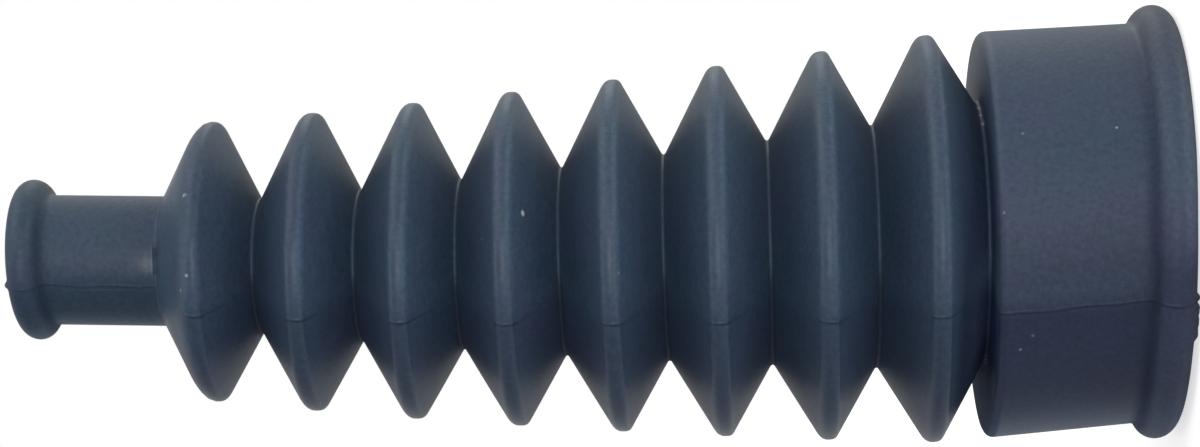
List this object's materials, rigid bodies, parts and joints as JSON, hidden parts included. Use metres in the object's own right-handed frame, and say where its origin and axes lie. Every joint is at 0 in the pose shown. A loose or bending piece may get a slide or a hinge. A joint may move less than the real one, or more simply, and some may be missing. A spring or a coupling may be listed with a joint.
{
  "type": "rubber bellows boot",
  "caption": "Tapered rubber bellows boot with a wide beaded cuff, ring folds that shrink in size, and a narrow beaded cuff.",
  "frame": {"origin": "centre of the wide cuff's mouth face, which the boot stands on", "axes": "+Z along the boot's axis, from the wide cuff to the narrow cuff"},
  "size_m": [0.0558, 0.0558, 0.15],
  "materials": {
    "rubber": "satin dark slate-blue moulded rubber"
  },
  "bodies": {
    "root": {"bellows_boot": "rubber"}
  },
  "joints": []
}
